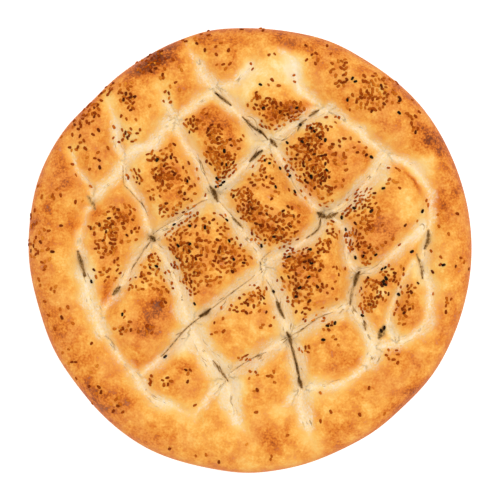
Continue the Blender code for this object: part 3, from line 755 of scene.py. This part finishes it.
@dataclass
class Loaf:
    """The loaf: its form as a height field over the plan, its mesh and its crust."""

    radius: float = 150 * MM
    pillow_level: float = 26 * MM
    rim_level: float = 29 * MM
    rim_width: float = 34 * MM
    side_level: float = 12 * MM
    shoulder: float = 25 * MM
    undercut: float = 12 * MM
    thinnest: float = 8 * MM
    crease_share: float = 0.55
    crease_power: float = 1.6
    flank_reach: float = 2.1
    path_step: float = 2 * MM
    crossing_sharpness: float = 4
    run_out: float = 38 * MM
    swell_size: float = 26 * MM
    swell_height: float = 1.3 * MM
    swell_seed: Vector = field(default_factory=lambda: Vector((3.7, 1.9, 5.2)))
    skin_layers: tuple = ((0.55 * MM, 9, 1.3), (0.28 * MM, 4.2, 4.1), (0.12 * MM, 2.4, 7.7))
    skin_fade: float = 4 * MM
    warp: tuple = (9, 0.8, (11.0, 23.0))
    warp_fade: float = 30 * MM
    fold_depth: float = 4 * MM
    fold_tip: float = 0.25
    fold_ends: tuple = (0.06, 0.94)
    fold_roundness: float = 0.7
    fold_power: float = 1.8
    inner_rings: int = 104
    shoulder_rings: int = 26
    undercut_rings: int = 8
    base_rings: int = 10
    fine_reach: float = 2.4
    fine_share: float = 0.6
    stain_shift: tuple = (0.8 * MM, 0.0)
    stain: tuple = (13, 2.4, (51.0, 63.0))
    fine_stain: tuple = (5, 1.0, (71.0, 83.0))
    fade: float = 11 * MM
    pale_share: float = 0.84
    run_out_browning: float = 0.85
    bare_depth: float = 10 * MM
    glow_reach: float = 2.2 * MM
    glow_fade: float = 12 * MM
    glow_depth: float = 5 * MM
    glow_level: float = 0.8
    glow_layers: tuple = ((0.7, 12, 41.0),)
    glow_most: float = 1.2
    middle_glow: float = 0.8
    outer_glow: float = 0.2
    calm_middle: float = 65 * MM
    calm_fade: float = 40 * MM
    tone_level: float = 0.57
    tone_layers: tuple = ((0.12, 19, 2.2), (0.10, 8, 9.4))
    oval_power: float = 2.4
    rim_tone: float = 0.09
    rim_tone_reach: float = 13 * MM
    side_tone: float = 0.12
    blush: float = 0.5
    blush_reach: float = 3.5 * MM
    base_ramp: float = 1.4
    crust: BakedCrust = field(default_factory=BakedCrust)

    def outline(self, angle: Array) -> Array:
        """Radius of the loaf's outline in each direction."""
        radius = np.full_like(angle, self.radius)
        for direction, depth, half_width in OUTLINE_DENTS:
            turn = (np.degrees(angle) - direction + 180.0) % 360.0 - 180.0
            radius -= depth * np.exp(-((turn / half_width) ** 2))
        return radius

    def inset(self, places: Array) -> Array:
        """How far in from the outline each place is."""
        return self.outline(np.arctan2(places[:, 1], places[:, 0])) - np.hypot(*places.T)

    def groove_fields(self, places: Array) -> tuple[Array, Array, Array, Array]:
        """Work out the pressed grooves.

        Args:
            places: Rows of x and y.

        Returns:
            How far the crust is pressed down, how pale it stayed and how golden it is beside a groove, both
            from 0 to 1, and rows of the distance from the nearest groove, the way along it and its number.
        """
        pressed = np.zeros(len(places))
        pale = np.full(len(places), -1.0)
        glow = np.zeros(len(places))
        run = np.zeros((len(places), 3))
        for number, groove in enumerate(GROOVES):
            distance, along, length = nearest_on_path(places, smooth_path(groove.points, self.path_step))
            start, middle, end = (depth * MM for depth in groove.depths)
            depth = (middle + (start - middle) * (1.0 - smooth_step(along / self.run_out))
                     + (end - middle) * (1.0 - smooth_step((length - along) / self.run_out)))
            spread = distance / (groove.width * MM)
            crease = self.crease_share * np.exp(-(spread ** self.crease_power))
            flank = (1.0 - self.crease_share) * np.exp(-((spread / self.flank_reach) ** 2))
            pressed += (depth * (crease + flank)) ** self.crossing_sharpness
            knots = np.linspace(0.0, 1.0, len(groove.pale))
            half_width = np.interp(along / length, knots, groove.pale) * MM
            here = 0.5 + (self.pale_share * half_width - distance) / self.fade
            here -= self.run_out_browning * (1.0 - smooth_step(depth / self.bare_depth))
            soft = smooth_step(0.5 + (half_width + self.glow_reach - distance) / self.glow_fade)
            glow = np.maximum(glow, soft * smooth_step(depth / self.glow_depth))
            nearer = here > pale
            pale = np.maximum(pale, here)
            run[nearer] = np.column_stack((distance, along, np.full(len(places), 7.0 * number)))[nearer]
        return pressed ** (1.0 / self.crossing_sharpness), smooth_step(pale), glow, run

    def fold_field(self, places: Array) -> Array:
        """How deep each place is in a fold and how dark the fold's painted shade is, from 0 to 1."""
        dark = np.zeros(len(places))
        for darkness, half_width, points in FOLDS:
            distance, along, length = nearest_on_path(places, smooth_path(points, MM))
            bulge = np.sin(np.pi * np.clip(along / length, *self.fold_ends)) ** self.fold_roundness
            reach = half_width * MM * (self.fold_tip + (1.0 - self.fold_tip) * bulge)
            dark = np.maximum(dark, darkness * np.exp(-((distance / reach) ** self.fold_power)))
        return dark

    def height(self, places: Array) -> Array:
        """Height of the upper crust at each place, without its fine relief."""
        inset = self.inset(places)
        rim = smooth_step(2.0 - inset / self.rim_width)
        level = self.pillow_level + (self.rim_level - self.pillow_level) * rim
        for x, y, radius, rise in PILLOW_SWELLS:
            level += rise * MM * np.exp(-(ellipse_reach(places, x, y, radius, radius) ** 2))
        shifted = places / self.swell_size + np.array(self.swell_seed.xy)
        level += self.swell_height * np.array(
            [noise.noise(Vector((x, y, self.swell_seed.z))) for x, y in shifted.tolist()])
        pressed = self.groove_fields(places)[0]
        for x, y, radius, depth in FINGER_HOLES:
            pressed += depth * MM * np.exp(-(ellipse_reach(places, x, y, radius, radius) ** 2))
        surface = np.maximum(level - pressed, self.thinnest)
        return self.side_level + (surface - self.side_level) * quarter_round(inset / self.shoulder)

    def normals(self, places: Array, reach: float) -> Array:
        """Upward normals of the crust.

        Args:
            places: Rows of x and y.
            reach: Half length over which the slope is read.

        Returns:
            Rows of unit normals.
        """
        slopes = []
        for step in ((reach, 0.0), (0.0, reach)):
            slopes.append((self.height(places - step) - self.height(places + step)) / (2 * reach))
        normals = np.column_stack((*slopes, np.ones(len(places))))
        return normals / np.linalg.norm(normals, axis=1)[:, None]

    def fine_relief(self, places: Array) -> Array:
        """Small wrinkles and blisters of the baked skin."""
        return layered(places, self.skin_layers)

    def tone_field(self, places: Array) -> Array:
        """Browning of the crust, from 0 for cream to 1 for scorched."""
        tone = np.full(len(places), self.tone_level)
        for amount, *oval in HEATS:
            tone += amount * np.exp(-(ellipse_reach(places, *oval) ** self.oval_power))
        tone += layered(places, self.tone_layers)
        return tone + self.rim_tone * np.exp(-((self.inset(places) / self.rim_tone_reach) ** 2))

    def ring_insets(self) -> Array:
        """How far in from the outline each ring of the upper crust lies, from the middle outwards."""
        inner = np.linspace(self.radius, self.shoulder, self.inner_rings + 1)[:-1]
        angles = np.linspace(math.pi / 2, 0.0, self.shoulder_rings + 1)
        return np.array([*inner, *(self.shoulder * (1.0 - np.cos(angles)))])

    def plan_mesh(self, bm: bmesh.types.BMesh) -> range:
        """Add the upper crust, still flat: rings about the middle, each with six more corners.

        Args:
            bm: The mesh that gets it.

        Returns:
            The numbers of the outermost ring's corners.
        """
        rings = []
        for number, inset in enumerate(self.ring_insets()):
            count = max(1, 6 * number)
            angle = np.arange(count) * (math.tau / count)
            radius = self.outline(angle) * (1.0 - inset / self.radius)
            corners = np.column_stack((radius * np.cos(angle), radius * np.sin(angle))).tolist()
            rings.append([bm.verts.new((x, y, 0.0)) for x, y in corners])
        for number, (inner, outer) in enumerate(zip(rings, rings[1:]), start=1):
            for side in range(6):
                for step in range(number):
                    near = outer[side * number + step]
                    far = outer[(side * number + step + 1) % len(outer)]
                    back = inner[(side * (number - 1) + step) % len(inner)]
                    bm.faces.new((near, far, back))
                    if step < number - 1:
                        forward = inner[(side * (number - 1) + step + 1) % len(inner)]
                        bm.faces.new((far, forward, back))
        return range(len(bm.verts) - len(rings[-1]), len(bm.verts))

    def refine_folds(self, bm: bmesh.types.BMesh, rounds: int = 2) -> None:
        """Split the edges that lie in or beside a fold.

        Args:
            bm: The flat upper crust.
            rounds: How many times the edges are halved.
        """
        for _ in range(rounds):
            edges = list(bm.edges)
            middles = np.array([((e.verts[0].co + e.verts[1].co) / 2).xy[:] for e in edges])
            near = np.zeros(len(edges), dtype=bool)
            for _, half_width, points in FOLDS:
                path = smooth_path(points, MM)
                reach = (half_width + self.fine_reach) * MM
                low, high = path.min(0) - reach, path.max(0) + reach
                inside = np.flatnonzero(np.all((middles > low) & (middles < high), axis=1))
                distance, _, _ = nearest_on_path(middles[inside], path)
                near[inside[distance < reach * self.fine_share]] = True
            chosen = [edge for edge, close in zip(edges, near) if close]
            bmesh.ops.subdivide_edges(bm, edges=chosen, cuts=1)
            bmesh.ops.triangulate(bm, faces=[face for face in bm.faces if len(face.verts) > 3])

    def close_below(self, bm: bmesh.types.BMesh, edge: list[bmesh.types.BMVert]) -> None:
        """Add the undercut below the widest ring and the flat underside.

        Args:
            bm: The mesh that gets them.
            edge: The corners of the widest ring, in order.
        """
        levels = []
        for level in range(1, self.undercut_rings + 1):
            angle = level / self.undercut_rings * math.pi / 2
            shrink = 1.0 - self.undercut / self.radius * (1.0 - math.cos(angle))
            levels.append((shrink, self.side_level * (1.0 - math.sin(angle))))
        foot = levels[-1][0]
        levels += [(foot * (1.0 - level / self.base_rings), 0.0) for level in range(1, self.base_rings)]
        above = edge
        for shrink, height in levels:
            below = [bm.verts.new((v.co.x * shrink, v.co.y * shrink, height)) for v in edge]
            for corner in range(len(edge)):
                following = (corner + 1) % len(edge)
                bm.faces.new((above[corner], below[corner], below[following], above[following]))
            above = below
        bm.faces.new(list(reversed(above)))

    def build(self) -> bpy.types.Object:
        """Make the loaf's mesh with its fields, and dress it."""
        bm = bmesh.new()
        edge = self.plan_mesh(bm)
        self.refine_folds(bm)
        upper = list(bm.verts)
        flat = np.array([v.co.xy[:] for v in upper])
        places = flat + drift(flat, *self.warp) * smooth_step(self.inset(flat) / self.warp_fade)[:, None]
        stain = flat - self.stain_shift + drift(flat, *self.stain)
        stain += drift(flat, *self.fine_stain)
        _, pale, glow, run = self.groove_fields(stain)
        outward = smooth_step((np.hypot(*flat.T) - self.calm_middle) / self.calm_fade)
        glow *= (np.clip(self.glow_level + layered(flat, self.glow_layers), 0.0, self.glow_most)
                 * (self.middle_glow + self.outer_glow * outward))
        # How deep each fold dents the crust; the same field is the folds' painted shade
        fold = self.fold_field(flat)
        calm = smooth_step(self.inset(flat) / self.skin_fade)
        height = self.height(places) + self.fine_relief(flat) * calm - self.fold_depth * fold * calm
        for corner, level in zip(upper, height.tolist()):
            corner.co.z = level
        bm.verts.ensure_lookup_table()
        self.close_below(bm, [bm.verts[number] for number in edge])
        bmesh.ops.triangulate(bm, faces=[face for face in bm.faces if len(face.verts) > 3])
        mesh = bpy.data.meshes.new("loaf")
        bm.to_mesh(mesh)
        bm.free()
        blush = self.blush * np.exp(-((self.inset(flat) / self.blush_reach) ** 2))
        self.add_fields(mesh, run, {
            "tone": (self.tone_field(stain), self.tone_level + self.side_tone),
            "glow": (glow, 0.0),
            "pale": (pale, 0.0),
            # The folds' painted shade, read by the crust's colour
            "fold": (fold, 0.0),
            "edge": (blush, self.blush),
        })
        mesh.shade_smooth()
        mesh.materials.append(self.crust.material())
        loaf = place_object("loaf", mesh)
        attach(loaf, BODY)
        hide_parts(LOAF_NODE)
        LOG.info("loaf: %d triangles", len(mesh.polygons))
        return loaf

    def add_fields(self, mesh: bpy.types.Mesh, run: Array, fields: dict[str, tuple]) -> None:
        """Give the mesh the fields that its crust reads.

        Args:
            mesh: The loaf's mesh, the upper crust's corners first.
            run: Rows of the distance from a groove, the way along it and its number.
            fields: By name, the upper crust's values and the one value below it. The base's is added.
        """
        corners = np.empty(len(mesh.vertices) * 3)
        mesh.vertices.foreach_get("co", corners)
        deep = 1.0 - corners[2::3] / self.side_level
        fields = {**fields, "base": (0.0, smooth_step(deep * self.base_ramp))}
        for name, (values, rest) in fields.items():
            whole = np.zeros(len(deep)) + rest
            whole[:len(run)] = values
            mesh.attributes.new(name, "FLOAT", "POINT").data.foreach_set("value", whole.astype(np.float32))
        runs = np.zeros((len(deep), 3), dtype=np.float32)
        runs[:len(run)] = run
        mesh.attributes.new("run", "FLOAT_VECTOR", "POINT").data.foreach_set("vector", runs.ravel())


class SeedKind(Enum):
    """The two seeds on the crust, each with its piece's name."""

    SESAME = "sesame_seeds"
    NIGELLA = "nigella_seeds"


@dataclass
class Seeds:
    """One kind of seed, scattered on the loaf and baked onto it, as one joined mesh."""

    kind: SeedKind
    size: tuple
    finish: RoastedSeed
    spread: float
    toast: tuple
    taper: float = 0.0
    ridges: float = 0.0
    bluntness: float = 0.62
    sides: int = 8
    rings: int = 6
    spacing: float = 1.8 * MM
    crowding: float = 0.4
    tries: int = 24
    straying: float = 0.5
    groove_shyness: float = 0.9
    groove_paleness: float = 0.15
    edge_gap: float = 0.4 * MM
    sink: float = 0.22
    slope_reach: float = 1.2 * MM
    stretch: tuple = (0.92, 1.08)
    tilt: float = 0.10
    pile_reach: float = 2.3 * MM
    pile_share: float = 1.6
    pile_most: float = 2.0
    pile_tilt: float = 0.12
    pile_rise: float = 0.55
    pile_toast: float = 0.10
    draw: np.random.Generator = field(default_factory=lambda: np.random.default_rng(11))

    def shape(self) -> tuple[Array, Array]:
        """One seed about its middle, one unit long, wide and thick.

        Returns:
            Its corners and its triangles.
        """
        corners = [(-0.5, 0.0, 0.0)]
        for ring in range(1, self.rings + 1):
            t = ring / (self.rings + 1)
            swell = math.sin(math.pi * t) ** self.bluntness * (1.0 - self.taper * (t - 0.5))
            for side in range(self.sides):
                angle = side / self.sides * math.tau
                reach = 0.5 * swell * (1.0 + self.ridges * math.cos(3 * angle))
                corners.append((
                    -0.5 * math.cos(math.pi * t), reach * math.cos(angle), reach * math.sin(angle)))
        corners.append((0.5, 0.0, 0.0))
        triangles = []
        last = len(corners) - 1
        for side in range(self.sides):
            following = (side + 1) % self.sides
            triangles.append((0, 1 + following, 1 + side))
            triangles.append((last, last - self.sides + side, last - self.sides + following))
            for ring in range(self.rings - 1):
                a, b = 1 + ring * self.sides + side, 1 + ring * self.sides + following
                triangles.append((a, b, b + self.sides))
                triangles.append((a, b + self.sides, a + self.sides))
        return np.array(corners), np.array(triangles)

    def scatter(self, loaf: Loaf, patches: tuple) -> Array:
        """Let seeds fall in patches, a little apart and mostly clear of the grooves.

        Args:
            loaf: The loaf they fall on.
            patches: The ovals they fall in.

        Returns:
            Rows of x and y.
        """
        falls = np.concatenate([self.falls(patch) for patch in patches])
        pale = loaf.groove_fields(falls)[1]
        stays = self.draw.random(len(falls)) > self.groove_shyness * pale
        stays &= loaf.inset(falls) > self.edge_gap
        places = np.empty((sum(patch.seeds for patch in patches), 2))
        count = start = 0
        for patch in patches:
            tries = patch.seeds * self.tries
            most = count + patch.seeds
            for number in np.flatnonzero(stays[start:start + tries]):
                if count == most:
                    break
                place = falls[start + number]
                room = self.spacing * (1.0 - self.crowding * number / tries)
                if count == 0 or np.hypot(*(places[:count] - place).T).min() > room:
                    places[count] = place
                    count += 1
            start += tries
        return places[:count]

    def falls(self, patch: Patch) -> Array:
        """Draw more places in a patch than it has seeds, later ones farther out."""
        tries = patch.seeds * self.tries
        reach = self.draw.random(tries) ** 0.5 * (1.0 + self.straying * np.arange(tries) / tries)
        angle = self.draw.uniform(0.0, math.tau, tries)
        x = patch.x + patch.across * reach * np.cos(angle)
        y = patch.y + patch.along * reach * np.sin(angle)
        return np.column_stack((x, y)) * MM

    def build(self, loaf: Loaf, places: Array) -> bpy.types.Object:
        """Lay the seeds on the loaf.

        Args:
            loaf: The loaf that carries them.
            places: Rows of x and y.

        Returns:
            The joined mesh's object.
        """
        corners, triangles = self.shape()
        heights = loaf.height(places)
        normals = loaf.normals(places, self.slope_reach)
        paler = self.groove_paleness * loaf.groove_fields(places)[1]
        every_corner, every_toast = [], []
        for number, (place, height, normal) in enumerate(zip(places, heights, normals)):
            scale = self.draw.uniform(1.0 - self.spread, 1.0 + self.spread)
            size = np.array(self.size) * MM * scale * (self.draw.uniform(*self.stretch), 1.0, 1.0)
            under = np.clip(1.0 - np.hypot(*(places[:number] - place).T) / self.pile_reach, 0.0, 1.0)
            piled = min(self.pile_most, float(np.sum(under)) * self.pile_share)
            up = Vector(normal + self.draw.normal(0.0, self.tilt + self.pile_tilt * piled, 3))
            turned = Vector((0, 0, 1)).rotation_difference(up.normalized())
            heading = self.draw.uniform(0.0, math.tau)
            ahead = turned @ Vector((math.cos(heading), math.sin(heading), 0.0))
            across = turned @ Vector((-math.sin(heading), math.cos(heading), 0.0))
            above = turned @ Vector((0.0, 0.0, 1.0))
            axes = np.array([ahead, across, above])
            middle = np.array([*place, height]) + normal * size[2] * (self.sink + self.pile_rise * piled)
            every_corner.append(corners * size @ axes + middle)
            toast = self.draw.triangular(*self.toast) + self.pile_toast * piled - paler[number]
            every_toast.append(np.full(len(corners), toast))
        count = len(places)
        faces = (triangles[None] + (np.arange(count) * len(corners))[:, None, None]).reshape(-1, 3)
        mesh = bpy.data.meshes.new(self.kind.value)
        mesh.from_pydata(np.concatenate(every_corner).tolist(), [], faces.tolist())
        toast = mesh.attributes.new("toast", "FLOAT", "POINT")
        toast.data.foreach_set("value", np.concatenate(every_toast).astype(np.float32))
        mesh.shade_smooth()
        mesh.materials.append(self.finish.material())
        piece = place_object(self.kind.value, mesh)
        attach(piece, BODY)
        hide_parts(LOAF_NODE)
        LOG.info("%s: %d seeds, %d triangles", self.kind.value, count, len(faces))
        return piece


@dataclass
class Studio:
    """White lit floor, soft light and the camera straight above the loaf."""

    floor_size: float = 12.0
    view_width: float = 338.5 * MM
    view_level: float = 12 * MM
    lens_mm: float = 100.0
    sensor_mm: float = 36.0
    sky: float = 0.79
    key_energy: float = 12.2
    key_size: float = 1.2
    key_place: tuple = (0.25, 0.25, 1.8)
    sheet: OpalSheet = field(default_factory=OpalSheet)

    def build(self) -> None:
        """Lay the sheet, hang the lights and set the camera."""
        self.lay_sheet()
        self.hang_lights()
        self.place_camera()
        LOG.info("studio: lit sheet, sky and key light, camera")

    def lay_sheet(self) -> None:
        """Lay the sheet under the loaf."""
        half = self.floor_size / 2
        mesh = bpy.data.meshes.new("opal_floor")
        corners = [(-half, -half, 0), (half, -half, 0), (half, half, 0), (-half, half, 0)]
        mesh.from_pydata(corners, [], [(0, 1, 2, 3)])
        mesh.materials.append(self.sheet.material())
        floor = place_object("opal_floor", mesh)

    def hang_lights(self) -> None:
        """Hang a large soft light nearly overhead, a little to the upper right, in an evenly white room."""
        world = bpy.data.worlds.new("white_room")
        world.use_nodes = True
        feed(world.node_tree.nodes["Background"], {"Color": (1.0, 1.0, 1.0, 1.0), "Strength": self.sky})
        bpy.context.scene.world = world
        light = bpy.data.lights.new("softbox", "AREA")
        light.energy = self.key_energy
        light.size = self.key_size
        softbox = place_object("softbox", light)
        softbox.location = self.key_place
        softbox.rotation_euler = (-softbox.location).to_track_quat("-Z", "Y").to_euler()

    def place_camera(self) -> None:
        """Set the camera straight above the loaf's middle, with the photograph's framing."""
        lens = bpy.data.cameras.new("camera")
        lens.lens = self.lens_mm
        lens.sensor_width = self.sensor_mm
        camera = place_object("camera", lens)
        distance = self.view_width * self.lens_mm / self.sensor_mm
        camera.location = (0.0, 0.0, self.view_level + distance)
        bpy.context.scene.camera = camera
        bpy.context.scene.view_settings.view_transform = "Standard"


def main() -> None:
    """Build the loaf, its seeds and the studio in order, and keep their sizes."""
    logging.basicConfig(level=logging.INFO, format="%(name)s: %(message)s")
    loaf = Loaf()
    loaf.build()
    husk = ((0.0, "#E08B2A"), (0.35, "#C06212"), (0.7, "#963B03"), (1.0, "#521A02"))
    sesame = Seeds(SeedKind.SESAME, (2.85, 1.8, 1.0), RoastedSeed("roasted_sesame", husk, 0.55, 0.03),
                   spread=0.14, toast=(0.0, 0.57, 1.06), taper=0.5)
    sesame.build(loaf, sesame.scatter(loaf, SESAME_PATCHES))
    black = ((0.0, "#2E190C"), (1.0, "#120804"))
    nigella = Seeds(SeedKind.NIGELLA, (2.9, 1.9, 1.6), RoastedSeed("dried_nigella", black, 0.7, 0.05),
                    spread=0.12, toast=(0.0, 0.6, 1.0), taper=0.3, ridges=0.1)
    nigella.build(loaf, np.array(NIGELLA_PLACES) * MM)
    Studio().build()


if __name__ == "__main__":
    main()
